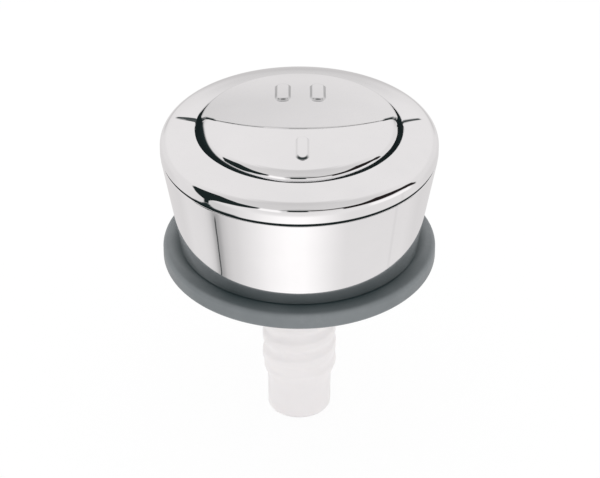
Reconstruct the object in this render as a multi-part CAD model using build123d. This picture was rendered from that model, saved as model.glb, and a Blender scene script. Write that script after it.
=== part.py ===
"""Dual-flush push button cistern actuator: chromed caps, ring and collar on a threaded stem.

Millimetres, +Z up. The origin is on the stem's axis in the underside of the seat gasket, which is
the plane of the cistern lid. -Y is the front, where the half-flush cap is.
"""
import os
from math import atan2, cos, degrees, radians, sin, sqrt

from build123d import *

# Seat gasket
gasket_inset = 0.1
gasket_thickness = 5.0
gasket_edge = 1.5
gasket_bore_clearance = 0.2

# Collar: tapered cup
collar_base_radius = 31.3
collar_rim_radius = 36.1
collar_height = 26.7
collar_wall = 2.6
collar_rim_wall = 1.9
collar_floor = 2.5
collar_base_edge = 0.4
collar_rim_edge = 0.25
collar_seat_depth = 6.6
collar_spigot_radius = 16.0
collar_spigot_depth = 3.0

# Trim ring: crowned shell with a skirt that drops into the collar
ring_gap = 0.7
ring_overhang = 0.1
ring_height = 6.7
ring_crown_radius = 35.0
ring_crown_tilt = 7.5
ring_shoulder = 3.4
ring_bore_edge = 0.6
ring_wall = 1.8
ring_lip_height = 4.6
ring_skirt_wall = 1.6
ring_skirt_clearance = 0.15
ring_bead = 0.35
ring_bead_height = 1.8
ring_bead_clearance = 0.12
notch_radius = 0.9
notch_depth = 0.4
notch_lag = 1.9
notch_turn = 24.0
notch_tilt = 10.5

# Caps: one dome, cut in two along an arc
cap_radius = 25.8
cap_clearance = 1.0
cap_proud = 3.9
cap_dome_radius = 130.0
cap_edge = 3.2
cap_wall = 2.2
cap_skirt_wall = 1.4
cap_skirt_length = 6.4
cap_step_height = 3.6
cap_lip_width = 2.0
cap_lip_clearance = 0.1
split_radius = 37.4
split_offset = 6.7
split_gap = 0.3
split_edge = 0.5
tip_radius = 1.2
tip_overlap = 0.03
cap_travel = 6.0

# Raised pill marks
pill_width = 4.2
pill_length = 9.7
pill_height = 0.6
pill_edge = 0.5
rear_pill_distance = 12.2
front_pill_distance = 15.3
pill_spacing = 9.2

# Stem
thread_radius = 9.9
thread_length = 36.3
thread_runout = 3.9
pilot_radius = 8.5
pilot_length = 10.3
pilot_edge = 1.2
neck_step = 1.2
neck_flat_step = 0.3
neck_clearance = 0.15
flange_radius = 15.0
flange_thickness = 3.0
bore_radius = 6.7
bore_web = 1.2

# Push rods
rod_clearance = 0.3
rod_recess = 1.5
rod_edge = 0.6
rod_tooth = 0.5
rod_tooth_pitch = 1.5
rod_tooth_count = 3

# Guide plate
plate_thickness = 2.5
plate_radius = 26.0
plate_hole_clearance = 0.6
tower_wall = 1.2
tower_height = 9.0
tower_pocket = 4.0
tower_rib = 1.2
tower_rib_reach = 4.5

# Screws and the bosses they go into
screw_circle = 21.0
screw_angle = 35.0
screw_radius = 1.2
screw_length = 6.0
screw_head_radius = 2.4
screw_head_height = 1.6
screw_recess_width = 0.7
screw_recess_depth = 0.9
screw_clearance = 0.05
boss_wall = 1.9
boss_tip_gap = 0.4

# Sliders
slider_thickness = 2.0
slider_clearance = 0.12
spigot_length = 4.5
spigot_clearance = 0.25
socket_wall = 1.4
socket_depth = 4.8
socket_clearance = 0.1
arm_thickness = 3.6
arm_width = 10.0
arm_clearance = 1.2
post_depth = 3.0

# Springs
spring_radius = 3.5
spring_wire = 0.9
spring_wire_sides = 8
spring_turns = 5.0
spring_side_clearance = 0.3
spring_end_clearance = 0.05
front_spring_distance = 17.8
rear_spring_distance = 14.5

# Heights that follow from the sizes above
collar_base_z = gasket_thickness
floor_z = collar_base_z + collar_floor
rim_z = collar_base_z + collar_height
seat_z = rim_z - collar_seat_depth
ring_base_z = rim_z + ring_gap
ring_top_z = ring_base_z + ring_height
ring_lip_z = ring_top_z - ring_lip_height
apex_z = ring_top_z + cap_proud
cap_lip_z = ring_lip_z - cap_lip_clearance
cap_base_z = ring_top_z - cap_skirt_length
step_z = cap_base_z + cap_step_height
slider_z = step_z - slider_thickness
flange_z = floor_z + flange_thickness
plate_z = flange_z + plate_thickness
tower_z = plate_z + tower_height
pocket_z = tower_z - tower_pocket
neck_z = collar_base_z - collar_spigot_depth
thread_end_z = neck_z - thread_length
pilot_z = thread_end_z - thread_runout
stem_end_z = pilot_z - pilot_length
rod_end_z = stem_end_z + rod_recess
arm_top_z = cap_base_z - cap_travel - arm_clearance
arm_base_z = arm_top_z - arm_thickness
tall = 4 * (apex_z - stem_end_z)

# Radii that follow
gasket_radius = collar_rim_radius - gasket_inset
collar_slope = (collar_rim_radius - collar_base_radius) / collar_height
seat_radius = collar_base_radius + collar_slope * (seat_z - collar_base_z) - collar_rim_wall
skirt_radius = seat_radius - ring_skirt_clearance
ring_radius = collar_rim_radius + ring_overhang
ring_bore = cap_radius + cap_clearance
split_centre = split_radius - split_offset
tower_bore = spring_radius + spring_wire / 2 + spring_side_clearance
spigot_radius = spring_radius - spring_wire / 2 - spigot_clearance
rod_radius = bore_radius - rod_clearance
rod_flat = bore_web / 2 + rod_clearance
pilot_hole = screw_radius + screw_clearance
plate_hole = rod_radius + socket_wall + plate_hole_clearance
neck_radius = thread_radius + neck_step
neck_flat = thread_radius + neck_flat_step

# Where the split reaches the rim of the caps
tip_y = (cap_radius**2 + split_centre**2 - split_radius**2) / (2 * split_centre)
tip_x = sqrt(cap_radius**2 - tip_y**2)
notch_angle = degrees(atan2(tip_y, tip_x)) - notch_lag


def disc(radius, low, high, x=0.0, y=0.0):
    """Upright cylinder between two heights."""
    middle = (Align.CENTER, Align.CENTER, Align.MIN)
    return Pos(x, y, low) * Cylinder(radius, high - low, align=middle)


def block(x0, x1, y0, y1, z0, z1):
    """Box between two corners."""
    return Pos((x0 + x1) / 2, (y0 + y1) / 2, (z0 + z1) / 2) * Box(x1 - x0, y1 - y0, z1 - z0)


def turned(outline):
    """Solid turned about the Z axis from edges drawn as (radius, height)."""
    return revolve(Plane.XZ * make_face(outline), Axis.Z)


def polygon(*points):
    """Closed polygon of (radius, height) points."""
    return Polyline(*points, close=True)


def arc(centre, radius, start, end):
    """Arc about a centre between two angles measured from straight up, outward positive."""

    def at(angle):
        return (centre[0] + radius * sin(angle), centre[1] + radius * cos(angle))

    return ThreePointArc(at(start), at((start + end) / 2), at(end))


def crowned(radius, low, crown_centre, crown_radius, start_angle, shoulder):
    """Outline from a crowned top over a rounded shoulder down a straight wall.

    Gives the edges and the point on the crown where they start."""
    centre_r = radius - shoulder
    reach = centre_r - crown_centre[0]
    centre_z = crown_centre[1] + sqrt((crown_radius - shoulder) ** 2 - reach**2)
    join = atan2(reach, centre_z - crown_centre[1])
    crown = arc(crown_centre, crown_radius, start_angle, join)
    edge = arc((centre_r, centre_z), shoulder, join, radians(90))
    wall = Line(edge @ 1, (radius, low))
    return [crown, edge, wall], crown @ 0


def dome(radius, apex, curve, edge, low):
    """Domed blank with a rounded rim and a straight wall."""
    outline, top = crowned(radius, low, (0, apex - curve), curve, 0.0, edge)
    return turned(outline + [Line((radius, low), (0, low)), Line((0, low), top)])


def rear_plan(radius, inset):
    """Plan of what lies behind the split, kept back from it by an inset."""
    return Circle(radius) & Pos(0, split_centre) * Circle(split_radius - split_gap / 2 - inset)


def front_plan(radius, inset):
    """Plan of what lies in front of the split, kept back from it by an inset."""
    return Circle(radius) - Pos(0, split_centre) * Circle(split_radius + split_gap / 2 + inset)


def prism(plan, low, high):
    """Upright prism of a plan between two heights."""
    return Pos(0, 0, low) * extrude(plan, high - low)


def seat_gasket():
    blank = disc(gasket_radius, 0, gasket_thickness)
    blank = fillet(blank.edges().filter_by(GeomType.CIRCLE), gasket_edge)
    return blank - disc(collar_spigot_radius + gasket_bore_clearance, 0, tall)


def neck(clearance, low, high):
    """Neck of the stem, round with two flats, so that it cannot turn in the collar."""
    half = neck_flat + clearance
    round_part = disc(neck_radius + clearance, low, high)
    return round_part & block(-tall, tall, -half, half, low, high)


def screw_places():
    for angle in (screw_angle, 180 - screw_angle, 180 + screw_angle, 360 - screw_angle):
        yield screw_circle * cos(radians(angle)), screw_circle * sin(radians(angle))


def screw_tip_z():
    return plate_z - screw_length


def collar():
    base_corner = (collar_base_radius, collar_base_z)
    rim_corner = (collar_rim_radius, rim_z)
    outer = turned(polygon((0, collar_base_z), base_corner, rim_corner, (0, rim_z)))
    rings = outer.edges().filter_by(GeomType.CIRCLE).sort_by(Axis.Z)
    outer = fillet(rings[0], collar_base_edge)
    outer = fillet(outer.edges().filter_by(GeomType.CIRCLE).sort_by(Axis.Z)[-1], collar_rim_edge)

    inside_low = collar_base_radius + collar_slope * collar_floor - collar_wall
    inside_high = collar_rim_radius - collar_wall
    inside = turned(polygon((0, floor_z), (inside_low, floor_z), (inside_high, rim_z), (0, rim_z)))
    seat = disc(seat_radius, seat_z, tall)
    bead_z = seat_z + ring_bead_height
    bead = turned(bead_outline(bead_z, ring_bead + ring_bead_clearance))
    body = outer - inside - seat - bead

    body += disc(collar_spigot_radius, neck_z, floor_z)
    for x, y in screw_places():
        body += disc(screw_radius + boss_wall, floor_z, flange_z, x, y)
        body -= disc(pilot_hole, screw_tip_z() - boss_tip_gap, tall, x, y)
    return body - neck(neck_clearance, neck_z, tall)


def bead_outline(height, size):
    """Three-sided snap bead on the skirt, with its point outward."""
    root = skirt_radius - size
    return polygon((root, height - size), (skirt_radius + size, height), (root, height + size))


def trim_ring():
    tilt = radians(ring_crown_tilt)
    crest_r = ring_bore + ring_bore_edge
    centre = (crest_r - ring_crown_radius * sin(tilt), ring_top_z - ring_crown_radius * cos(tilt))
    outer, _ = crowned(ring_radius, ring_base_z, centre, ring_crown_radius, tilt, ring_shoulder)
    edge_z = ring_top_z - ring_bore_edge
    bore_edge = arc((crest_r, edge_z), ring_bore_edge, radians(-90), 0.0)
    base = Line((ring_radius, ring_base_z), (ring_bore, ring_base_z))
    bore = Line((ring_bore, ring_base_z), (ring_bore, edge_z))
    envelope = turned(outer + [base, bore, bore_edge])

    lip_radius = ring_bore + ring_wall
    hollow, hollow_top = crowned(
        ring_radius - ring_wall,
        ring_base_z,
        centre,
        ring_crown_radius - ring_wall,
        atan2(lip_radius - centre[0], ring_top_z - centre[1]),
        ring_shoulder - ring_wall,
    )
    mouth = Line((ring_radius - ring_wall, ring_base_z), (lip_radius, ring_base_z))
    lip_wall = Line((lip_radius, ring_base_z), hollow_top)
    cavity = turned(hollow + [mouth, lip_wall])
    shell = envelope - cavity - disc(lip_radius, 0, ring_lip_z)

    skirt = disc(skirt_radius, seat_z, ring_top_z) - disc(skirt_radius - ring_skirt_wall, 0, tall)
    skirt_low = skirt & disc(ring_radius, seat_z, ring_base_z)
    skirt_high = skirt & envelope
    ring = shell + skirt_high + skirt_low + turned(bead_outline(seat_z + ring_bead_height, ring_bead))

    slot_z = ring_top_z + notch_radius - notch_depth
    slot = Rot(0, 90 + notch_tilt, 0) * Cylinder(notch_radius, ring_radius)
    for angle, turn in ((notch_angle, notch_turn), (180 - notch_angle, -notch_turn)):
        ring -= Rot(0, 0, angle) * Pos(ring_bore, 0, slot_z) * Rot(0, 0, turn) * slot
    return ring


def cap(plan):
    """One cap: its share of the dome with rounded tips, hollowed from below in two steps."""
    outline = fillet(plan(cap_radius + tip_overlap, 0).vertices(), tip_radius)
    blank = dome(cap_radius, apex_z, cap_dome_radius, cap_edge, cap_base_z)
    shape = blank & prism(outline, cap_base_z, tall)
    shape += prism(plan(cap_radius + cap_lip_width, 0), cap_base_z, cap_lip_z)
    shape = soften_split(shape)
    under_z = apex_z - cap_wall
    upper = dome(cap_radius - cap_wall, under_z, cap_dome_radius - cap_wall, cap_edge, cap_base_z)
    shape -= upper & prism(plan(cap_radius, cap_wall), cap_base_z, apex_z)
    return shape - prism(plan(cap_radius - cap_skirt_wall, cap_skirt_wall), cap_base_z, step_z)


def pill(x, y):
    """Raised mark that follows the dome."""
    bar = Pos(x, y, ring_top_z) * extrude(SlotOverall(pill_length, pill_width, rotation=90), tall)
    high = dome(cap_radius, apex_z + pill_height, cap_dome_radius + pill_height, cap_edge, cap_base_z)
    mark = bar & high
    return fillet(mark.faces().sort_by(Axis.Z)[-1].edges(), pill_edge)


def soften_split(shape):
    """Rounds the top edge of a cap along the split."""
    near = [
        edge
        for edge in shape.edges()
        if abs((edge @ 0.5 - Vector(0, split_centre, (edge @ 0.5).Z)).length - split_radius) < split_gap
        and (edge @ 0.5).Z > ring_top_z
    ]
    return fillet(near, split_edge)


def full_flush_button():
    shape = cap(rear_plan)
    for x in (-pill_spacing / 2, pill_spacing / 2):
        shape += pill(x, rear_pill_distance)
    return shape


def half_flush_button():
    shape = cap(front_plan)
    return shape + pill(0, -front_pill_distance)


def carrier(plan):
    """Carrier plate that presses against the step inside a cap."""
    inset = cap_skirt_wall + slider_clearance
    return prism(plan(cap_radius - inset, inset), slider_z, step_z)


def rod_shape(sign, grow, low, high):
    """D-shaped half rod on the front (-1) or the rear (1) of the web."""
    near = rod_flat - grow
    far = tall
    y0, y1 = (near, far) if sign > 0 else (-far, -near)
    return disc(rod_radius + grow, low, high) & block(-tall, tall, y0, y1, low, high)


def socket(sign, top):
    outer = rod_shape(sign, 0, top - socket_depth, top)
    grown = rod_shape(sign, socket_wall, top - socket_depth, top)
    keep = block(-tall, tall, rod_flat, tall, stem_end_z, tall)
    if sign < 0:
        keep = block(-tall, tall, -tall, -rod_flat, stem_end_z, tall)
    return (grown & keep) + outer - rod_shape(sign, socket_clearance, top - socket_depth, top)


def full_flush_slider():
    body = carrier(rear_plan)
    body += disc(spigot_radius, slider_z - spigot_length, slider_z, y=rear_spring_distance)
    return body + socket(1, slider_z)


def half_flush_slider():
    body = carrier(front_plan)
    body += disc(spigot_radius, slider_z - spigot_length, slider_z, y=-front_spring_distance)
    post_y = -front_spring_distance + tower_bore + tower_wall + rod_clearance
    half = arm_width / 2
    body += block(-half, half, post_y, post_y + post_depth, arm_base_z, slider_z)
    body += block(-half, half, post_y, -rod_flat, arm_base_z, arm_top_z)
    return body + socket(-1, arm_base_z)


def rod(sign, top):
    body = rod_shape(sign, 0, rod_end_z, top)
    tips = body.faces().sort_by(Axis.Z)
    body = chamfer(tips[0].edges(), rod_edge)
    for step in range(rod_tooth_count):
        low = top - rod_edge - (step + 1) * rod_tooth_pitch
        high = low + rod_tooth_pitch / 2
        body -= disc(tall, low, high) - disc(rod_radius - rod_tooth, low, high)
    return body


def full_flush_rod():
    return rod(1, slider_z)


def half_flush_rod():
    return rod(-1, arm_base_z)


def threaded_stem():
    outline = polygon(
        (0, stem_end_z),
        (pilot_radius, stem_end_z),
        (pilot_radius, pilot_z),
        (thread_radius, thread_end_z),
        (thread_radius, neck_z),
        (0, neck_z),
    )
    body = turned(outline)
    body = fillet(body.edges().filter_by(GeomType.CIRCLE).sort_by(Axis.Z)[0], pilot_edge)
    body += neck(0, neck_z, floor_z)
    body += disc(flange_radius, floor_z, flange_z)
    web = block(-bore_radius, bore_radius, -bore_web / 2, bore_web / 2, stem_end_z, flange_z)
    return body - (disc(bore_radius, stem_end_z, flange_z) - web)


def guide_plate():
    body = disc(plate_radius, flange_z, plate_z)
    for y in (-front_spring_distance, rear_spring_distance):
        body += disc(tower_bore + tower_wall, flange_z, tower_z, y=y)
        rib_end = tower_bore + tower_wall + tower_rib_reach
        for sign in (-1, 1):
            edge = [(sign * tower_bore, plate_z), (sign * rib_end, plate_z), (sign * tower_bore, pocket_z)]
            web = extrude(Plane.XZ * make_face(Polyline(*edge, close=True)), tower_rib / 2, both=True)
            body += Pos(0, y, 0) * web
        body -= disc(tower_bore, pocket_z, tower_z, y=y)
    body -= disc(plate_hole, flange_z, plate_z)
    for x, y in screw_places():
        body -= disc(pilot_hole, flange_z, plate_z, x, y)
    return body


def guide_screws():
    screws = []
    for x, y in screw_places():
        head_z = plate_z + screw_head_height
        screw = disc(screw_radius, screw_tip_z(), plate_z, x, y)
        screw += disc(screw_head_radius, plate_z, head_z, x, y)
        long = screw_head_radius
        cross = Box(long, screw_recess_width, 2 * screw_recess_depth)
        cross += Box(screw_recess_width, long, 2 * screw_recess_depth)
        screws.append(screw - Pos(x, y, head_z) * cross)
    return Compound(screws)


def spring(y):
    """Coil spring between the pocket in its tower and the carrier above."""
    low = pocket_z + spring_end_clearance + spring_wire / 2
    high = slider_z - spring_end_clearance - spring_wire / 2
    path = Pos(0, y, low) * Helix((high - low) / spring_turns, high - low, spring_radius)
    wire = Plane(path @ 0, z_dir=path % 0) * RegularPolygon(spring_wire / 2, spring_wire_sides)
    return sweep(wire, path, is_frenet=True)


os.makedirs("parts", exist_ok=True)
pieces = {
    "seat_gasket": seat_gasket(),
    "collar": collar(),
    "trim_ring": trim_ring(),
    "threaded_stem": threaded_stem(),
    "guide_plate": guide_plate(),
    "guide_screws": guide_screws(),
    "full_flush_button": full_flush_button(),
    "full_flush_slider": full_flush_slider(),
    "full_flush_rod": full_flush_rod(),
    "full_flush_spring": spring(rear_spring_distance),
    "half_flush_button": half_flush_button(),
    "half_flush_slider": half_flush_slider(),
    "half_flush_rod": half_flush_rod(),
    "half_flush_spring": spring(-front_spring_distance),
}
for name, piece in pieces.items():
    export_step(piece, f"parts/{name}.step")
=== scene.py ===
import bmesh
import bpy
import numpy as np
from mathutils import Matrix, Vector


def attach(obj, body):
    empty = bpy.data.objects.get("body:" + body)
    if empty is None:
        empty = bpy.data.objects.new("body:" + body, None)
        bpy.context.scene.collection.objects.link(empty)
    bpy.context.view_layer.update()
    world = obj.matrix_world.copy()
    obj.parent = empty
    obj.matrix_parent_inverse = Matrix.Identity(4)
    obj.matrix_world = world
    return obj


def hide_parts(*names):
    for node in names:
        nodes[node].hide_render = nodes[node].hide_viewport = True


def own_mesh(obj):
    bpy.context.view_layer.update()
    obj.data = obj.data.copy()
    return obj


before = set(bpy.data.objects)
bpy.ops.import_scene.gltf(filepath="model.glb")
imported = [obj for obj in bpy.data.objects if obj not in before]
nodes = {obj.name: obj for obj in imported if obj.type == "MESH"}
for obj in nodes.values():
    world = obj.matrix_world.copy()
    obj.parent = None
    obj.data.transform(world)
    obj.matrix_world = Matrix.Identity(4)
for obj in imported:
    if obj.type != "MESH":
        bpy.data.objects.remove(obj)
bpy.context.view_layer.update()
mm = 0.001  # sizes below are in mm, Blender works in metres
print("frame loaded:", len(nodes), "nodes")


# Quads of a grid of points: (i, j), (i, j + 1), (i + 1, j + 1), (i + 1, j). Columns close on themselves,
# and rows do too if asked.
def gridQuads(rows, columns, closeRows):
    i, j = np.meshgrid(np.arange(rows if closeRows else rows - 1), np.arange(columns), indexing="ij")
    k, l = (i + 1) % rows, (j + 1) % columns
    return np.stack([i * columns + j, i * columns + l, k * columns + l, k * columns + j], -1).reshape(-1, 4)


# Volume inside a shell: a sixth of its triangles' triple products, positive if its faces point outwards.
def signedVolume(points, quads):
    p = points[quads]
    first = np.einsum("ij,ij->i", p[:, 0], np.cross(p[:, 1], p[:, 2]))
    second = np.einsum("ij,ij->i", p[:, 0], np.cross(p[:, 2], p[:, 3]))
    return (first.sum() + second.sum()) / 6


# A shell from rows of points (rows x columns x 3). End rows that shrink to a point or a line close it.
def shellOf(rows, closeRows=False):
    points = rows.reshape(-1, 3)
    quads = gridQuads(rows.shape[0], rows.shape[1], closeRows)
    return points, quads if signedVolume(points, quads) > 0 else quads[:, ::-1]


# An object from points in mm and quads. A point attribute is its name, kind, field and values.
def meshObject(name, points, quads, material, attribute=None):
    mesh = bpy.data.meshes.new(name)
    mesh.from_pydata((points * mm).tolist(), [], quads.tolist())
    if attribute:
        label, kind, field, values = attribute
        mesh.attributes.new(label, kind, "POINT").data.foreach_set(field, values.astype(np.float32).ravel())
    mesh.materials.append(material)
    item = bpy.data.objects.new(name, mesh)
    bpy.context.scene.collection.objects.link(item)
    return item


# Merges points less than a ten-thousandth of a millimetre apart.
def mergeDoubles(mesh):
    work = bmesh.new()
    work.from_mesh(mesh)
    bmesh.ops.remove_doubles(work, verts=work.verts, dist=1e-7)
    work.to_mesh(mesh)
    work.free()


# Puts shells into one mesh, merges the points that a pole or seam doubles, and smooths all but sharp edges.
def addPiece(name, shells, material, body, replaced, paintedShade=None, sharp=40):
    starts = np.cumsum([0] + [len(points) for points, _ in shells])
    points = np.concatenate([points for points, _ in shells])
    quads = np.concatenate([quads + start for (_, quads), start in zip(shells, starts)])
    # The painted shade goes with the mesh as a point attribute.
    dark = None if paintedShade is None else ("paintedShade", "FLOAT", "value", paintedShade)
    piece = meshObject(name, points, quads, material, dark)
    mesh = piece.data
    mesh.validate()
    mergeDoubles(mesh)
    mesh.shade_smooth()
    mesh.set_sharp_from_angle(angle=np.radians(sharp))
    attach(piece, body)
    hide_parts(replaced)
    print("piece", name, len(mesh.polygons), "faces")
    return piece


# Points on an arc about (r, z). The angle in degrees runs from straight up, outwards positive.
def arcPoints(centre, radius, start, end, count):
    t = np.radians(np.linspace(start, end, count))
    return np.stack([centre[0] + radius * np.sin(t), centre[1] + radius * np.cos(t)], -1)


# Closed outline in (radius, height). Each corner (r, z, rounding) becomes an arc that touches both its runs:
# its centre is rounding / sin(half the angle) along the line that halves the corner.
def roundedOutline(corners, count=9):
    places = np.array([corner[:2] for corner in corners], float)
    parts = []
    for here, before, after, corner in zip(places, np.roll(places, 1, 0), np.roll(places, -1, 0), corners):
        if corner[2] == 0:
            parts.append(here[None])
            continue
        back, on = before - here, after - here
        back, on = back / np.linalg.norm(back), on / np.linalg.norm(on)
        half = np.arccos(np.clip(back @ on, -1, 1)) / 2
        middle = (back + on) / np.linalg.norm(back + on)
        centre = here + middle * corner[2] / np.sin(half)
        turn = np.linspace(-1, 1, count)[:, None] * (np.pi / 2 - half)
        across = back - (back @ middle) * middle
        across = across / np.linalg.norm(across)
        parts.append(centre - corner[2] * (np.cos(turn) * middle + np.sin(turn) * across))
    return np.concatenate(parts)


# Even angles once round.
def roundAngles(count):
    return np.linspace(0, 2 * np.pi, count, endpoint=False)


# An outline carried round the Z axis: (r cos a, r sin a, z) for every outline point and angle.
def turnedRows(outline, angles):
    r, z = outline[:, :1], outline[:, 1:]
    return np.stack([r * np.cos(angles), r * np.sin(angles), z + 0 * angles], -1)


# Plan points (x, y) at a height, one for all or one each.
def raised(plan, z):
    return np.concatenate([plan, np.broadcast_to(z, len(plan))[:, None]], -1)


# Even angles once round, in degrees, with finer ones within a spread of the places that need them.
def anglesWith(count, places, spread, fine):
    even = np.linspace(0, 360, count, endpoint=False)
    near = [np.linspace(place - spread, place + spread, fine) for place in places]
    keep = np.all([np.abs(even - place) > spread for place in places], axis=0)
    return np.sort(np.concatenate([even[keep], *near]))


# From 0 at low to 1 at high along t t (3 - 2 t).
def smoothStep(x, low, high):
    t = np.clip((x - low) / (high - low), 0, 1)
    return t * t * (3 - 2 * t)


# 1 between two values and 0 outside them, with smooth ramps of a width centred on them.
def between(x, low, high, soft):
    return smoothStep(x, low - soft / 2, low + soft / 2) * smoothStep(-x, -high - soft / 2, soft / 2 - high)


# Azimuth of points about the Z axis in degrees: 0 in front (-Y), positive to the right.
def azimuthOf(points):
    return np.degrees(np.arctan2(points[..., 0], -points[..., 1]))


# Feeds a node's inputs, by name or place: another node's output is linked, any other value is set.
def feed(tree, node, inputs):
    for place, given in inputs.items():
        if isinstance(given, bpy.types.NodeSocket):
            tree.links.new(given, node.inputs[place])
        else:
            node.inputs[place].default_value = given
    return node


def addNode(tree, kind, inputs, **options):
    node = tree.nodes.new("ShaderNode" + kind)
    for option, value in options.items():
        setattr(node, option, value)
    return feed(tree, node, inputs)


def multiply(tree, first, second, **options):
    return addNode(tree, "Math", {0: first, 1: second}, operation="MULTIPLY", **options).outputs[0]


def noiseNode(tree, given, detail, roughness, finer=1):
    scale = multiply(tree, given["Scale"], finer)
    inputs = {"Vector": given["Vector"], "Scale": scale, "Detail": detail, "Roughness": roughness}
    return addNode(tree, "TexNoise", inputs).outputs["Fac"]


def mapNode(tree, value, low, high, toLow, toHigh):
    inputs = {"Value": value, "From Min": low, "From Max": high, "To Min": toLow, "To Max": toHigh}
    return addNode(tree, "MapRange", inputs).outputs["Result"]


# The first value plus the second times a scale.
def addValues(tree, first, second, scale=1.0):
    return addNode(tree, "Math", {0: second, 1: scale, 2: first}, operation="MULTIPLY_ADD").outputs[0]


def colorMix(tree, share, first, second):
    return addNode(tree, "Mix", {"Factor": share, 6: first, 7: second}, data_type="RGBA").outputs[2]


# Cloudy value between Low and High: noise stretched to that range.
def softMottle(tree, given):
    noise = noiseNode(tree, given, 4, 0.55)
    return mapNode(tree, noise, 0.3, 0.7, given["Low"], given["High"])


# Two colours mixed by cloudy noise.
def twoTone(tree, given):
    noise = noiseNode(tree, given, 5, 0.6)
    return colorMix(tree, mapNode(tree, noise, 0.35, 0.65, 0.0, 1.0), given["Dark"], given["Light"])


# Surface unevenness: noise of a size and depth turned into a normal.
def fineGrain(tree, given):
    noise = noiseNode(tree, given, 2, 0.5)
    return addNode(tree, "Bump", {"Height": noise, "Distance": given["Depth"]}).outputs["Normal"]


# Marks of handling: patches of coarse noise times patches of noise 14 times finer, from 0 to Amount.
def handMarks(tree, given):
    coarse = noiseNode(tree, given, 2, 0.5)
    fine = noiseNode(tree, given, 6, 0.7, 14)
    patches = mapNode(tree, coarse, 0.52, 0.72, 0.0, 1.0)
    return multiply(tree, patches, mapNode(tree, fine, 0.45, 0.75, 0.0, given["Amount"]))


# A node group made by build from its named inputs. Sockets are numbers, apart from the kinds named here.
socketKinds = {"Vector": "Vector", "Normal": "Vector", "Light": "Color", "Dark": "Color", "Color": "Color"}


def makeEffect(build, inputs, output):
    group = bpy.data.node_groups.new(build.__name__, "ShaderNodeTree")
    for way, labels in (("INPUT", ("Vector", *inputs)), ("OUTPUT", (output,))):
        for label in labels:
            kind = "NodeSocket" + socketKinds.get(label, "Float")
            group.interface.new_socket(label, in_out=way, socket_type=kind)
    result = build(group, group.nodes.new("NodeGroupInput").outputs)
    feed(group, group.nodes.new("NodeGroupOutput"), {output: result})
    return group


effects = {
    "softMottle": makeEffect(softMottle, ("Scale", "Low", "High"), "Value"),
    "twoTone": makeEffect(twoTone, ("Scale", "Light", "Dark"), "Color"),
    "fineGrain": makeEffect(fineGrain, ("Scale", "Depth"), "Normal"),
    "handMarks": makeEffect(handMarks, ("Scale", "Amount"), "Mask"),
}


# Places an effect in a material with its own values and gives its output.
def effect(tree, name, vector, **values):
    return addNode(tree, "Group", {"Vector": vector, **values}, node_tree=effects[name]).outputs[0]


# A material with its own Principled shader; plain values are set on the shader's sockets.
def newMaterial(name, **plain):
    material = bpy.data.materials.new(name)
    material.use_nodes = True
    tree = material.node_tree
    shader = tree.nodes["Principled BSDF"]
    feed(tree, shader, {label.replace("_", " "): value for label, value in plain.items()})
    return material, tree, shader


# What all finishes share: two cloudy tones, a sheen between smooth and dull, and a fine grain.
def baseFinish(tree, shader, vector, look):
    tones = effect(tree, "twoTone", vector, Scale=look["cloudScale"], Light=look["light"], Dark=look["dark"])
    sheen = effect(tree, "softMottle", vector, Scale=look["skinScale"], Low=look["smooth"], High=look["dull"])
    grain = effect(tree, "fineGrain", vector, Scale=look["grainScale"], Depth=look["grainDepth"])
    feed(tree, shader, {"Base Color": tones, "Roughness": sheen, "Normal": grain})
    return tones, sheen


def objectPlace(tree):
    return addNode(tree, "TexCoord", {}).outputs["Object"]


def usedMarks(tree, vector, look):
    return effect(tree, "handMarks", vector, Scale=look["markScale"], Amount=look["markAmount"])


# Painted shade stored on each mesh, read by the finishes.
def paintedShadeOf(tree):
    return addNode(tree, "Attribute", {}, attribute_name="paintedShade").outputs["Fac"]


# Bright plating: a mirror with a slight ripple and finger marks. In the recesses and gaps a painted shade
# turns it dark and dull, with a faint painted glow for the light that bounces about there; the same painted
# shade draws dark reflections.
def platedChrome(name, look):
    material, tree, shader = newMaterial(name, Metallic=1.0, Emission_Color=look["paintedBounceGlow"])
    place, paintedDark = objectPlace(tree), paintedShadeOf(tree)
    plating, polish = baseFinish(tree, shader, place, look)
    handled = addValues(tree, polish, usedMarks(tree, place, look))
    feed(tree, shader, {
        "Base Color": colorMix(tree, paintedDark, plating, look["paintedShadeColor"]),
        "Specular Tint": colorMix(tree, paintedDark, (1, 1, 1, 1), look["paintedShadeColor"]),
        "Emission Strength": paintedDark,
        "Roughness": addValues(tree, handled, paintedDark, look["paintedShadeDull"]),
    })
    return material


chromeLook = {
    "light": (0.955, 0.955, 0.96, 1), "dark": (0.925, 0.926, 0.932, 1), "cloudScale": 45,
    # colour, glow and dullness of the painted shade
    "paintedShadeColor": (0.02, 0.03, 0.03, 1), "paintedBounceGlow": (0.0095, 0.0145, 0.015, 1), "paintedShadeDull": 0.4,
    "smooth": 0.018, "dull": 0.04, "skinScale": 60,
    "markScale": 35, "markAmount": 0.05,
    "grainScale": 110, "grainDepth": 0.000012,
}
collarChrome = platedChrome("collarChrome", chromeLook)
ringChrome = platedChrome("ringChrome", {**chromeLook, "cloudScale": 60, "markScale": 42})
buttonChrome = platedChrome("buttonChrome", {**chromeLook, "markScale": 50, "markAmount": 0.07})


# Moulded plastic: cloudy milky colour, a satin skin with fine grain, a little light below the surface.
def mouldedPlastic(name, look):
    below = {"Subsurface_Radius": (1.0, 0.95, 0.9), "Subsurface_Scale": look["depth"]}
    material, tree, shader = newMaterial(name, Subsurface_Weight=look["milky"], IOR=1.5, **below)
    place = objectPlace(tree)
    color, _ = baseFinish(tree, shader, place, look)
    feed(tree, shader, {"Base Color": colorMix(tree, usedMarks(tree, place, look), color, look["markColor"])})
    return material


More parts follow.
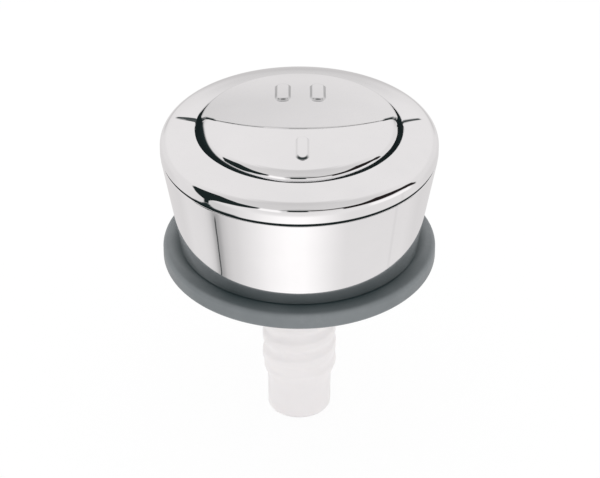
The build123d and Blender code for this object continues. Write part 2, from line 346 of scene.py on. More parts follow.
plasticLook = {
    "light": (0.875, 0.865, 0.86, 1), "dark": (0.845, 0.837, 0.832, 1), "cloudScale": 90,
    "milky": 0.25, "depth": 0.002,
    "markColor": (0.74, 0.73, 0.71, 1), "markScale": 60, "markAmount": 0.25,
    "smooth": 0.3, "dull": 0.42, "skinScale": 150,
    "grainScale": 1500, "grainDepth": 0.000008,
}
stemLook = {"light": (0.998, 0.952, 0.953, 1), "dark": (0.978, 0.932, 0.933, 1)}
rodLook = {"light": (0.85, 0.85, 0.85, 1), "dark": (0.81, 0.81, 0.81, 1)}
stemPlastic = mouldedPlastic("stemPlastic", {**plasticLook, **stemLook})
guidePlastic = mouldedPlastic("guidePlastic", {**plasticLook, "cloudScale": 120, "dull": 0.5})
sliderPlastic = mouldedPlastic("sliderPlastic", {**plasticLook, "cloudScale": 150, "smooth": 0.26})
rodPlastic = mouldedPlastic("rodPlastic", {**plasticLook, **rodLook})


# Moulded rubber: two greys, chalky marks, a painted shade where it meets the collar, a matt skin with fine
# pits.
def mouldedRubber(name, look):
    material, tree, shader = newMaterial(name, Specular_IOR_Level=look["gloss"])
    place = objectPlace(tree)
    color, _ = baseFinish(tree, shader, place, look)
    chalked = colorMix(tree, usedMarks(tree, place, look), color, look["markColor"])
    feed(tree, shader, {"Base Color": colorMix(tree, paintedShadeOf(tree), chalked, look["creaseShadeColor"])})
    return material


rubberLook = {
    "light": (0.215, 0.235, 0.245, 1), "dark": (0.185, 0.205, 0.215, 1), "cloudScale": 70,
    # colour of the painted shade by the collar, then the chalk marks
    "creaseShadeColor": (0.02, 0.037, 0.041, 1), "gloss": 0.5,
    "markColor": (0.34, 0.36, 0.37, 1), "markScale": 55, "markAmount": 0.3,
    "smooth": 0.34, "dull": 0.46, "skinScale": 160,
    "grainScale": 1800, "grainDepth": 0.00001,
}
greyRubber = mouldedRubber("greyRubber", rubberLook)


# Drawn or turned steel: noise stretched along one direction gives the draw lines.
def drawnSteel(name, look):
    material, tree, shader = newMaterial(name, Metallic=1.0)
    stretched = {"Vector": objectPlace(tree), "Scale": look["stretch"]}
    lines = addNode(tree, "Mapping", stretched).outputs["Vector"]
    baseFinish(tree, shader, lines, look)
    return material


steelLook = {
    "light": (0.66, 0.66, 0.68, 1), "dark": (0.5, 0.5, 0.52, 1), "cloudScale": 900,
    "stretch": (1.0, 1.0, 0.2),
    "smooth": 0.2, "dull": 0.34, "skinScale": 900,
    "grainScale": 900, "grainDepth": 0.000006,
}
wireLook = {"stretch": (0.3, 0.3, 1.0), "cloudScale": 1200, "skinScale": 1200, "grainScale": 1200}
screwSteel = drawnSteel("screwSteel", steelLook)
springSteel = drawnSteel("springSteel", {**steelLook, **wireLook})
print("finishes made:", len(bpy.data.materials))


# Seat gasket: a rounded bar section turned round the axis, its top falling a little to the rim.
gasketSizes = {
    "bore": 16.2, "radius": 36.0, "thickness": 5.0,
    "flat": 31.0, "topFall": 0.45,  # where the top starts to fall, and by how much
    "edge": 1.2, "boreEdge": 0.3,
    "edgeRows": 13, "slopeRows": 12, "steps": 300,
    # painted shade by the collar: where it fades, and in front how far it reaches
    "creaseShade": (31.0, 35.0),
    "frontCreaseShade": (32.0, 34.8, 0.36),  # from, to, and what it loses on the way
    "frontReach": (-62, 78, 60),  # azimuths, and how softly it ends there
    "creaseShadeRim": (34.6, 36.0),
}


# The painted shade by the collar fades out over the top. In front it reaches further and ends at the rim.
def gasketShell(size):
    radius, top = size["radius"], size["thickness"]
    corners = [
        (size["bore"], 0, size["boreEdge"]),
        (radius, 0, size["edge"]),
        (radius, top - size["topFall"], size["edge"]),
        (size["flat"], top, 0),
        (size["bore"], top, size["boreEdge"]),
    ]
    outline = roundedOutline(corners, size["edgeRows"])
    corner = len(outline) - size["edgeRows"] - 1
    slope = np.linspace(outline[corner - 1], outline[corner], size["slopeRows"] + 2)[1:-1]
    outline = np.concatenate([outline[:corner], slope, outline[corner:]])
    rows = turnedRows(outline, roundAngles(size["steps"]))
    r, z = outline[:, :1], outline[:, 1:]
    near, far, loss = size["frontCreaseShade"]
    front = 1 - loss * np.clip((r - near) / (far - near), 0, 1)
    front = front * between(azimuthOf(rows), *size["frontReach"]) * (1 - smoothStep(r, *size["creaseShadeRim"]))
    creaseShade = np.where(z > top / 2, np.maximum(1 - smoothStep(r, *size["creaseShade"]), front), 0.0)
    return shellOf(rows, True), creaseShade.ravel()


shell, paintedShade = gasketShell(gasketSizes)
addPiece("seatGasket", [shell], greyRubber, "housing", "seat_gasket", paintedShade)


# Collar: a tapered cup with a seat for the ring, a spigot below and screw bosses on its floor.
collarSizes = {
    "baseRadius": 31.3, "baseHeight": 5.0, "baseEdge": 0.4,
    "rimRadius": 36.1, "rimHeight": 31.7, "rimEdge": 0.25,
    "wall": 2.6, "wallEnds": 0.45,
    "flare": 0.27, "flareRun": 6.0, "flareRows": 12,
    "seatRadius": 33.014, "seatHeight": 25.1, "seatEdge": 0.2,
    "beadHeight": 26.9, "beadSize": 0.47,
    "floorHeight": 7.5, "floorEdge": 0.4,
    "spigotRadius": 16.0, "spigotHeight": 2.0, "spigotEdge": 0.3,
    "holeRadius": 11.25, "holeFlat": 10.35,
    "steps": 360,
}
bossSizes = {
    "circle": 21.0, "angle": 35.0, "radius": 3.1, "hole": 1.25, "bottom": 6.6, "top": 10.5,
    "edge": 0.25, "holeEdge": 0.1, "edgeRows": 5, "steps": 40,
}


# A circle with two flats: its radius is the smaller of the circle's and flat / |sin a|.
def flatted(rows, places, angles, radius, flat):
    limit = np.minimum(radius, flat / np.maximum(np.abs(np.sin(angles)), 1e-6))
    for row in places:
        rows[row, :, 0] = limit * np.cos(angles)
        rows[row, :, 1] = limit * np.sin(angles)
    return rows


# The wall is a cone, wider at its foot by flare (1 - up / run)^2. The hole in the floor has two flats.
def collarShells(size, boss):
    base, rim, floor, seat = size["baseHeight"], size["rimHeight"], size["floorHeight"], size["seatRadius"]
    slope = (size["rimRadius"] - size["baseRadius"]) / (rim - base)
    insideLow = size["baseRadius"] + slope * (floor - base) - size["wall"]
    insideSlope = (size["rimRadius"] - size["wall"] - insideLow) / (rim - floor)
    insideSeat = insideLow + insideSlope * (size["seatHeight"] - floor)
    bead, beadZ = size["beadSize"], size["beadHeight"]
    flare, run, ends = size["flare"], size["flareRun"], size["wallEnds"]
    wall = [
        (size["baseRadius"] + slope * up + flare * max(1 - up / run, 0) ** 2, base + up, 0)
        for up in (ends, *np.linspace(2 * ends, run, size["flareRows"]), rim - base - ends)
    ]
    corners = [
        (size["holeRadius"], size["spigotHeight"], 0),
        (size["spigotRadius"], size["spigotHeight"], size["spigotEdge"]),
        (size["spigotRadius"], base, 0),
        (size["baseRadius"] + flare, base, size["baseEdge"]),
        *wall,
        (size["rimRadius"], rim, size["rimEdge"]),
        (seat, rim, size["seatEdge"]),
        (seat, beadZ + bead, 0), (seat + bead, beadZ, 0), (seat, beadZ - bead, 0),
        (seat, size["seatHeight"], 0), (insideSeat, size["seatHeight"], 0),
        (insideLow, floor, size["floorEdge"]),
        (size["holeRadius"], floor, 0),
    ]
    outline = roundedOutline(corners)
    angles = roundAngles(size["steps"])
    rows = flatted(turnedRows(outline, angles), (0, -1), angles, size["holeRadius"], size["holeFlat"])
    r = outline[:, 0]
    # Painted shade: full on the inside below the ring's seat and on the screw bosses.
    paintedDark = (np.arange(len(r)) > r.argmax()) & (r < size["rimRadius"] - size["seatEdge"])
    shells, paintedShade = [shellOf(rows, True)], [np.repeat(np.where(paintedDark, 1.0, 0.0), size["steps"])]
    corners = [(boss["hole"], boss["bottom"], 0), (boss["radius"], boss["bottom"], 0)]
    corners += [(boss["radius"], boss["top"], boss["edge"]), (boss["hole"], boss["top"], boss["holeEdge"])]
    post = turnedRows(roundedOutline(corners, boss["edgeRows"]), roundAngles(boss["steps"]))
    for angle in np.radians([boss["angle"], 180 - boss["angle"], 180 + boss["angle"], -boss["angle"]]):
        shells.append(shellOf(post + boss["circle"] * np.array([np.cos(angle), np.sin(angle), 0]), True))
        paintedShade.append(np.ones(post.size // 3))
    return shells, np.concatenate(paintedShade)


shells, paintedShade = collarShells(collarSizes, bossSizes)
addPiece("collarCup", shells, collarChrome, "housing", "collar", paintedShade)


# Trim ring: a crowned shell with a rounded shoulder, a snap skirt and a groove at each end of the split.
ringSizes = {
    "bore": 26.8, "boreEdge": 0.6, "radius": 36.2, "top": 39.1,
    "base": 32.4, "baseEdge": 0.2,
    "crownRadius": 35.0, "crownTilt": 7.5, "shoulder": 3.4,
    "wall": 1.8, "wallEnds": (0.06, 0.25), "lip": 34.5,
    "skirtRadius": 32.864, "skirtWall": 1.6, "skirtLow": 25.1,
    "bead": 0.35, "beadHeight": 26.9,
    "boreRows": 8, "crownRows": 44, "shoulderRows": 30, "wallRows": 9,
    "edgeRows": 6, "insideRows": 8, "lipRows": 7, "steps": 330,
    "notches": [  # angle, way it turns, and painted dark reflections: strength, place across, width and run
        (6.7, 1, [(0.85, -0.4, 0.9, 0.85)]),
        (173.3, -1, [(0.95, 0.5, 0.62, 1.0), (0.85, -0.4, 0.5, 0.55)]),
    ],
    "notchTurn": 24.0, "notchRun": 7.0, "notchWidth": 1.0, "notchTaper": 0.4, "notchDepth": 0.22,
    "notchStart": -1, "notchLowest": 3,  # along each groove, and below the top
    "notchFine": (2.6, 61), "notchPull": (3, 40),
    "markPeak": 1.4, "markFade": 0.15,
    # painted shade in the gap: heights where it fades on the bore, and how much higher it reaches left and
    # right
    "boreShadeFade": (36.4, 37.6), "shadeRiseLeft": 1.5, "shadeRiseRight": 0.6,
    "boreWithin": (0.3, 0.1), "hiddenWithin": (0.15, 1.5), "lineWithin": (0.3, 4),  # sideways, and up or down
    "line": 0.1, "lineSoft": (-0.15, 0.1),  # painted shade line under the ring
    "lineLeft": (0.25, -47, -26, 6), "lineKnot": (0.8, -40, 2.2),  # how much thicker on the left, and where
    # painted shade over the back of the crown
    "rearShade": 0.12, "rearReach": (110, 150), "rearRun": (29, 33),
}


# The crown's arc leans outwards by a tilt. The shoulder's arc touches the crown and the outer wall.
def ringOutline(size):
    bore, radius, base, lip, wall = (size[key] for key in ("bore", "radius", "base", "lip", "wall"))
    tilt, crown, shoulder = np.radians(size["crownTilt"]), size["crownRadius"], size["shoulder"]
    crestR, crestZ = bore + size["boreEdge"], size["top"] - size["boreEdge"]
    crownR, crownZ = crestR - crown * np.sin(tilt), size["top"] - crown * np.cos(tilt)
    shoulderR = radius - shoulder
    reach = shoulderR - crownR
    shoulderZ = crownZ + np.sqrt((crown - shoulder) ** 2 - reach**2)
    join = np.degrees(np.arctan2(reach, shoulderZ - crownZ))
    skirt, skirtIn, skirtZ = size["skirtRadius"], size["skirtRadius"] - size["skirtWall"], size["skirtLow"]
    lipR = bore + wall
    bead, beadZ = size["bead"], size["beadHeight"]
    above, below = size["wallEnds"]

    def under(*radii):  # underside of the crown at these radii
        r = np.array(radii)
        return np.stack([r, crownZ + np.sqrt((crown - wall) ** 2 - (r - crownR) ** 2)], -1)

    def upright(r, start, end, count):  # even steps along a wall
        return np.stack([np.full(count, r), np.linspace(start, end, count)], -1)

    foot = [(radius, base, size["baseEdge"]), (radius - wall, base, size["baseEdge"])]
    foot = roundedOutline([*foot, (radius - wall, shoulderZ, 0), (radius, shoulderZ, 0)], size["edgeRows"])
    runs = [
        arcPoints((crestR, crestZ), size["boreEdge"], -90, 0, size["boreRows"]),
        arcPoints((crownR, crownZ), crown, size["crownTilt"], join, size["crownRows"])[1:],
        arcPoints((shoulderR, shoulderZ), shoulder, join, 90, size["shoulderRows"])[1:],
        upright(radius, shoulderZ - above, base + below, size["wallRows"]),
        foot[:-1],
        arcPoints((shoulderR, shoulderZ), shoulder - wall, 90, join, size["insideRows"])[1:],
        under(skirt),
        [(skirt, beadZ + bead), (skirt + bead, beadZ), (skirt, beadZ - bead)],
        [(skirt, skirtZ), (skirtIn, skirtZ)],
        under(skirtIn, lipR),
        [(lipR, lip), (bore, lip)],
        upright(bore, lip, crestZ, size["lipRows"])[1:-1],
    ]
    return np.concatenate(runs)


# Painted shade in the gap round the caps: the azimuths between which it is painted dark, and those where it
# reaches further up.
gapReach = {
    "dark": (-113, 104, 10),
    "left": [(0.54, (-116, -18, 16)), (0.46, (-124, -66, 36))],  # shares of the rise there
    "right": (20, 102, 16),
}


# How much higher the gap's painted shade reaches on the left and right of the front.
def gapRise(azimuth, left, right):
    leftShare = sum(share * between(azimuth, *reach) for share, reach in gapReach["left"])
    return left * leftShare + right * between(azimuth, *gapReach["right"])


# Share of the gap's painted shade that is left at an azimuth: none behind the caps.
def gapShare(azimuth):
    return between(azimuth, *gapReach["dark"])


# The grooves run out from the bore at a turn from the radius, narrower and shallower outwards, and drop as a
# squared cosine across. The angles near each one are shifted row by row to follow it. A painted dark
# reflection beside a groove is a cut-off parabola across it.
def ringShell(size):
    outline = ringOutline(size)
    r, z = outline[:, :1], outline[:, 1:]
    bore, turn = size["bore"], np.radians(size["notchTurn"])
    along = np.sqrt(r**2 - (bore * np.sin(turn)) ** 2) - bore * np.cos(turn)
    swing = np.degrees(np.arctan2(along * np.sin(turn), bore + along * np.cos(turn)))
    places = [notch[0] for notch in size["notches"]]
    even = anglesWith(size["steps"], places, *size["notchFine"])[None]
    pull = [1 - smoothStep(np.abs((even - place + 180) % 360 - 180), *size["notchPull"]) for place in places]
    rows = turnedRows(outline, np.radians(even + swing * (pull[0] - pull[1])))
    topRows = size["boreRows"] + size["crownRows"] + size["shoulderRows"] - 2
    count = np.arange(len(outline))[:, None]
    onTop = (count < topRows) & (z > size["top"] - size["notchLowest"])
    peak, fade = size["markPeak"], size["markFade"]
    # groove gathers the painted dark reflections beside the grooves
    groove = np.zeros(rows.shape[:2])
    for place, way, marks in size["notches"]:
        start = np.radians(place)
        heading = start + way * turn
        x, y = rows[..., 0] - bore * np.cos(start), rows[..., 1] - bore * np.sin(start)
        along, across = x * np.cos(heading) + y * np.sin(heading), y * np.cos(heading) - x * np.sin(heading)
        part = np.clip(along / size["notchRun"], 0, 1)
        side = way * across / (size["notchWidth"] * (1 - size["notchTaper"] * part))
        near = onTop & (along > size["notchStart"])
        drop = np.cos(np.pi / 2 * np.clip(side, -1, 1)) ** 2
        rows[..., 2] -= near * size["notchDepth"] * (1 - part**3) * drop
        dark = 0.0
        for strength, middle, width, run in marks:
            band = np.clip(peak - peak * ((side - middle) / width) ** 2, 0, 1)
            dark = dark + strength * band * (1 - smoothStep(part, run - fade, run))
        groove = np.maximum(groove, near * dark)
    azimuth = azimuthOf(rows)
    # Painted shade darkens the bore's top in the gap round the caps, higher on the left and right; hidden
    # faces are painted fully dark.
    rise = gapRise(azimuth, size["shadeRiseLeft"], size["shadeRiseRight"])
    gap = (1 - smoothStep(z - rise, *size["boreShadeFade"])) * gapShare(azimuth)
    out, down = size["hiddenWithin"]
    hidden = (count > topRows) & (z < size["top"] - down) & (r < size["radius"] - out)
    out, down = size["boreWithin"]
    paintedShade = np.where((r < bore + out) & (z > size["lip"] - down), gap, np.where(hidden, 1.0, 0.0))
    # A painted shade line runs along the foot of the outer wall, thicker on the left.
    left, *reach = size["lineLeft"]
    knot, middle, width = size["lineKnot"]
    edge = size["base"] + size["line"] + left * between(azimuth, *reach)
    edge += knot * np.exp(-(((azimuth - middle) / width) ** 2))
    out, down = size["lineWithin"]
    line = (r > size["radius"] - out) & (z < size["top"] - down)
    paintedShade = np.where(line, smoothStep(edge - z, *size["lineSoft"]), paintedShade)
    # Painted shade over the back of the crown.
    rear = smoothStep(np.abs(azimuth), *size["rearReach"]) * (1 - smoothStep(r, *size["rearRun"]))
    shade = np.maximum(groove, size["rearShade"] * onTop * rear)
    return shellOf(rows, True), np.maximum(paintedShade, shade).ravel()


shell, paintedShade = ringShell(ringSizes)
addPiece("trimRing", [shell], ringChrome, "housing", "trim_ring", paintedShade)


# Caps: one shallow dome with a rounded rim, cut in two along an arc.
capSizes = {
    "radius": 25.8, "apex": 43.0, "domeRadius": 130.0, "edge": 3.2,
    "splitCentre": 30.7, "splitRadius": 37.4, "splitGap": 0.14, "splitEdge": 0.5,
    "frontCrown": 2.4, "crownRadius": 30.0,  # the front cap falls a little towards the split
    "tipRadius": 1.2, "tipLeast": 0.06,
    "wall": 2.2, "skirtWall": 1.4, "base": 32.7, "step": 36.3,
    "lipTop": 34.4, "lipWidth": 2.0, "lipRoot": 0.3,
    "sideLift": 1.45, "liftLean": 0.25, "liftRun": 14.0, "liftMost": 1.2,
    # painted shade in the gap: heights where it fades on the wall, and how much higher it reaches left and
    # right
    "wallShadeFade": (36.2, 36.7), "shadeRiseLeft": 3.5, "shadeRiseRight": 0.0,
    "shade": (0.0, 0.0), "shadeFade": (6, 25),  # painted shade on the top: in the middle, its change along X, and its fade along Y
    # painted shade at the split's two ends, and its fade inwards
    "tipShade": (21.8, 24.4, 1.0), "tipFade": (0.1, 0.5),
    "rimCount": 260, "splitCount": 150, "tipCount": 14,
    "topParts": (0, 0.94, 25), "underParts": (1.0, 0.8, 0.5, 0.2, 0.0),
    "edgeTurns": {"edge": (4, 90, 22), "splitEdge": (10, 80, 7)},
    "wallHeights": (37.2, 36.6, 35.6, 34.4),
}
pillSizes = {
    "width": 4.2, "length": 9.7, "height": 0.6, "lift": 0.01, "sink": 0.4,
    "slope": 0.85, "frontSlope": 0.5, "squareness": 2.0,
    # painted shade round the pill's edge, and on its front end
    "outline": 0.17, "frontShade": 0.0, "frontReach": (1.5, 0.2), "markPower": 0.7,
    "turnCount": 33, "flatRows": (1.6, 1.2), "sideRows": 20,
}


# Height of the dome at a distance from the axis: a sphere that a rounded rim leaves before the wall.
def domeHeight(size, r):
    ball, edge = size["domeRadius"], size["edge"]
    low = size["apex"] - ball
    edgeR = size["radius"] - edge
    edgeZ = low + np.sqrt((ball - edge) ** 2 - edgeR**2)
    join = edgeR + edge * edgeR / (ball - edge)
    sphere = low + np.sqrt(ball**2 - np.minimum(r, join) ** 2)
    rim = edgeZ + np.sqrt(np.maximum(edge**2 - np.maximum(r - edgeR, 0) ** 2, 0))
    return np.where(r < join, sphere, rim)


# Drop below the top of a surface whose edge is rounded, at a distance in from that edge.
def edgeDrop(distance, radius):
    inside = np.clip(radius - distance, 0, radius)
    return radius - np.sqrt(np.maximum(radius**2 - inside**2, 0))


# Plan of a cap kept in by d: rim arc, rounded tip, split arc, rounded tip. Each tip's centre is where circles
# kept in by its radius from the rim and the split meet. Side is 1 for the rear cap, -1 for the front.
def capPlan(size, side, d, rimRadius, tipRadius):
    tip = max(tipRadius - d, size["tipLeast"])
    middle, split = size["splitCentre"], size["splitRadius"] - side * (size["splitGap"] / 2 + d)
    fromAxis, fromSplit = rimRadius - d - tip, split - side * tip
    y = (fromAxis**2 - fromSplit**2 + middle**2) / (2 * middle)
    x = np.sqrt(fromAxis**2 - y**2)
    rim = np.arctan2(y, x)
    cut = np.arctan2(middle - y, x)  # below the split's centre, measured from +X
    whole, half = 2 * np.pi, np.pi
    if side > 0:
        arcs = [
            (0, 0, rimRadius - d, rim, half - rim, "rimCount"),
            (-x, y, tip, half - rim, half + cut, "tipCount"),
            (0, middle, split, half + cut, whole - cut, "splitCount"),
            (x, y, tip, whole - cut, whole + rim, "tipCount"),
        ]
    else:
        arcs = [
            (0, 0, rimRadius - d, half - rim, whole + rim, "rimCount"),
            (x, y, tip, rim, half - cut, "tipCount"),
            (0, middle, split, -cut, cut - half, "splitCount"),
            (-x, y, tip, cut, half - rim, "tipCount"),
        ]
    plan = []
    for cx, cy, radius, start, end, count in arcs:
        t = np.linspace(start, end, size[count])[:-1]
        plan.append(np.stack([cx + radius * np.cos(t), cy + radius * np.sin(t)], -1))
    return np.concatenate(plan)


# Share of the split's edge rounding at each plan point: 0 on the rim, 1 on the split, a ramp on the tips.
def splitShare(size):
    ramp = np.linspace(0, 1, size["tipCount"] - 1)
    return np.concatenate([np.zeros(size["rimCount"] - 1), ramp, np.ones(size["splitCount"] - 1), ramp[::-1]])


# A cap from rows that run from the middle of the top out to the edge, down the wall and back under.
def capShells(size, side, middle, pills):
    share, centre, front = splitShare(size), np.array(middle), side < 0
    turns = size["edgeTurns"].items()
    steps = [size[edge] * (1 - np.sin(np.radians(np.linspace(*turn)))) for edge, turn in turns]
    steps = np.sort(np.concatenate(steps))[::-1]
    rows, marks = [], []

    def addRow(plan, z, mark=0.0):
        rows.append(raised(plan, z))
        marks.append(np.broadcast_to(mark, len(plan)))

    def planAt(d):
        return capPlan(size, side, d, size["radius"], size["tipRadius"])

    def liftAt(plan):  # the front cap's sides rise with x^2 and with the distance from the split
        fromSplit = np.hypot(plan[:, 0], plan[:, 1] - size["splitCentre"]) - size["splitRadius"]
        across = plan[:, 0] / size["radius"]
        amount = front * (size["sideLift"] - size["liftLean"] * across)
        return amount * across**2 * np.clip(fromSplit / size["liftRun"], 0, size["liftMost"])

    def topAt(plan):
        return domeHeight(size, np.hypot(plan[:, 0], plan[:, 1])) + liftAt(plan)

    def markAt(plan):  # painted shade at the split's two ends
        return share * between(np.abs(plan[:, 0]), *size["tipShade"])

    def shadeAt(points):  # painted shade on the top, fading out towards the back
        amount, lean = size["shade"]
        return (amount + lean * points[..., 0]) * (1 - smoothStep(points[..., 1], *size["shadeFade"]))

    for part in np.linspace(*size["topParts"]):
        plan = centre + part * (planAt(steps[0]) - centre)
        addRow(plan, topAt(plan))
    topCount = len(rows)
    for d in steps:
        plan = planAt(d)
        fall = np.clip(front * size["frontCrown"] - d, 0, None) ** 2 / (2 * size["crownRadius"])
        drop = share * (edgeDrop(d, size["splitEdge"]) + fall)
        addRow(plan, topAt(plan) - drop, markAt(plan) * (1 - smoothStep(d, *size["tipFade"])))
    outer = planAt(0)
    for z in (*size["wallHeights"], size["base"]):
        addRow(outer, z, markAt(outer))
    wallCount = len(rows)
    skirt, hollow = planAt(size["skirtWall"]), planAt(size["wall"])
    addRow(skirt, size["base"])
    addRow(skirt, size["step"])
    addRow(hollow, size["step"])
    for part in size["underParts"]:
        plan = centre + part * (hollow - centre)
        addRow(plan, size["apex"] - size["wall"] - (plan**2).sum(-1) / (2 * size["domeRadius"]))
    rows = np.array(rows)
    azimuth = azimuthOf(rows)
    # Painted shade down the wall in the gap, higher on the left and right, with the split ends' and the top's
    # painted shade.
    rise = gapRise(azimuth, size["shadeRiseLeft"], size["shadeRiseRight"]) * (1 - share) + liftAt(outer)
    paintedDark = (1 - smoothStep(rows[..., 2] - rise, *size["wallShadeFade"])) * gapShare(azimuth)
    paintedDark = np.maximum(paintedDark, np.array(marks))
    paintedDark[:topCount] = 0
    paintedDark = np.maximum(paintedDark, shadeAt(rows))
    paintedDark[wallCount:] = 1
    shells, paintedShade = [shellOf(rows)], [paintedDark.ravel()]

    wide = capPlan(size, side, 0, size["radius"] + size["lipWidth"], size["tipLeast"])
    within = planAt(size["lipRoot"])
    lip = [(wide, size["base"]), (wide, size["lipTop"]), (within, size["lipTop"]), (within, size["base"])]
    lip = np.array([raised(plan, z) for plan, z in lip])
    shells.append(shellOf(lip, True))
    # The lip under the ring is painted fully dark.
    paintedShade.append(np.ones(lip.size // 3))
    for place, look in pills:
        pill, outline = pillRows(topAt, look, place)
        shells.append(shellOf(pill))
        paintedShade.append((outline + shadeAt(pill)).ravel())
    return shells, np.concatenate(paintedShade)


# A pill mark: rounded ends joined by straight sides, kept in row by row to its middle line. Its side rises
# from the dome as half a cosine wave, steeper at the front end, which is a superellipse. Painted shade
# follows its edge, with more on the front end if asked.
def pillRows(topAt, pill, place):
    half = pill["width"] / 2
    run = (pill["length"] - pill["width"]) / 2
    t = np.linspace(0, np.pi, pill["turnCount"])
    turn = np.concatenate([t, t + np.pi])
    shift = np.repeat([run, -run], len(t))
    power = 2 / np.where(np.sin(turn) < -1e-9, pill["squareness"], 2.0)
    ways = np.stack([np.sign(v) * np.abs(v) ** power for v in (np.cos(turn), np.sin(turn))], -1)
    spine = np.stack([0 * shift, shift], -1) + np.array(place)
    slope = pill["slope"] + (pill["frontSlope"] - pill["slope"]) * np.clip(-ways[:, 1], 0, 1) ** 2
    steep, start = pill["frontReach"]
    mark = pill["outline"] + pill["frontShade"] * np.clip(-steep * ways[:, 1] - start, 0, 1)
    rows, marks = [], []
    for d in (half, *pill["flatRows"], *np.linspace(pill["slope"], 0, pill["sideRows"])):
        plan = spine + (half - d) * ways
        part = np.minimum(d / slope, 1)
        rise = pill["height"] * (1 - np.cos(np.pi * part)) / 2 + pill["lift"]
        rows.append(raised(plan, topAt(plan) + rise))
        marks.append(mark * np.sin(np.pi * part) ** pill["markPower"])
    for d in (0.0, half):
        plan = spine + (half - d) * ways
        rows.append(raised(plan, topAt(plan) - pill["sink"]))
        marks.append(np.zeros(len(plan)))
    return np.array(rows), np.array(marks)


# The front pill's front end gets a painted shade.
rearPill = {**pillSizes, "width": 4.4, "length": 10.1, "squareness": 3.0}
frontPill = {**pillSizes, "width": 3.8, "outline": 0.06, "frontShade": 0.93}
rearPills = [((-4.3, 12.4), rearPill), ((4.85, 12.4), rearPill)]
frontPills = [((0.8, -15.3), frontPill)]
# The rear cap's top has a painted shade, darker to the left.
rearCap = {**capSizes, "edge": 0.9, "shade": (0.1, -0.0024)}
shells, paintedShade = capShells(rearCap, 1, (0.0, 10.0), rearPills)
addPiece("fullFlushCap", shells, buttonChrome, "full_flush", "full_flush_button", paintedShade)
shells, paintedShade = capShells(capSizes, -1, (0.0, -17.5), frontPills)
addPiece("halfFlushCap", shells, buttonChrome, "half_flush", "half_flush_button", paintedShade)


# Stem: a hollow post with a coarse round thread, a plain pilot below, and a flatted neck and a flange on top.
stemSizes = {
    "end": -48.5, "bore": 6.7, "boreEdge": 0.3, "web": 0.6, "webSink": 0.2,
    "pilotRadius": 8.5, "pilotTop": -38.2, "pilotEdge": 1.2,
    "threadRadius": 9.9, "threadLow": -34.3,
    "neckLow": 2.0, "neckRadius": 11.1, "neckFlat": 10.2, "neckTop": 7.5,
    "flangeRadius": 15.0, "flangeTop": 10.5,
    "pitch": 5.7, "depth": 0.5, "groove": 2.6, "lipSoft": 0.5, "deepest": 0.4,
    "grooveLow": -36.95, "grooveHigh": -1.0,
    "rows": 230, "steps": 180,
}


# The groove is a circle carried along a right-handed helix outside the stem: near it the surface is pushed in
# to helixRadius - sqrt(groove^2 - distance^2), where distance is measured to the nearest turn, or to the
# groove's ends. A smooth minimum of that and the plain radius rounds the groove's lips.
def stemShells(size):
    bore, end, top, pitch = size["bore"], size["end"], size["flangeTop"], size["pitch"]
    angles = roundAngles(size["steps"])
    pilotR, pilotZ = size["pilotRadius"], size["pilotTop"]
    corners = [(bore, end, size["boreEdge"]), (pilotR, end, size["pilotEdge"]), (pilotR, pilotZ, 0)]
    pilot = roundedOutline(corners)
    rise = np.linspace(pilotZ, size["neckLow"], size["rows"])
    taper = np.clip((rise - pilotZ) / (size["threadLow"] - pilotZ), 0, 1)
    post = np.stack([pilotR + taper * (size["threadRadius"] - pilotR), rise], -1)
    head = [(size["neckRadius"], size["neckLow"]), (size["neckRadius"], size["neckTop"])]
    head += [(size["flangeRadius"], size["neckTop"]), (size["flangeRadius"], top), (bore, top)]
    outline = np.concatenate([pilot[:-1], post, np.array(head)])
    rows = turnedRows(outline, angles)

    plain, z, turn = outline[:, :1], outline[:, 1:], angles[None]
    radius = size["threadRadius"] + size["groove"] - size["depth"]
    last = 2 * np.pi * (size["grooveHigh"] - size["grooveLow"]) / pitch
    course = turn + 2 * np.pi * np.round((z - size["grooveLow"]) / pitch - turn / (2 * np.pi))
    nearest = np.clip(course, 0, last)
    lift = z - (size["grooveLow"] + pitch * nearest / (2 * np.pi))
    distance = np.hypot(lift, radius * (course - nearest))
    pushed = radius - np.sqrt(np.maximum(size["groove"] ** 2 - distance**2, 0))
    blend = np.clip(0.5 + (plain - pushed) / (2 * size["lipSoft"]), 0, 1)
    rounded = plain + (pushed - plain) * blend - size["lipSoft"] * blend * (1 - blend)
    limit = np.where(z < size["neckLow"], rounded, plain)
    limit = np.maximum(limit, np.minimum(plain, pilotR - size["deepest"]))
    rows[..., 0] = limit * np.cos(angles)
    rows[..., 1] = limit * np.sin(angles)
    rows = flatted(rows, (-5, -4), angles, size["neckRadius"], size["neckFlat"])

    half, reach = size["web"], np.sqrt(bore**2 - size["web"] ** 2) + size["webSink"]
    corners = np.array([(-reach, -half), (reach, -half), (reach, half), (-reach, half)])
    web = np.array([raised(corners * k, height) for k, height in ((0, end), (1, end), (1, top), (0, top))])
    return [shellOf(rows, True), shellOf(web)]


addPiece("threadedStem", stemShells(stemSizes), stemPlastic, "housing", "threaded_stem")


# Coil springs: a round wire carried along a helix, its ends drawn to a point.
springSizes = {
    "radius": 3.5, "wire": 0.45, "turns": 5, "low": 18.5, "high": 33.8, "steps": 360, "sides": 14,
    "anchor": 18.0, "top": 34.3, "travel": 6.0,
}


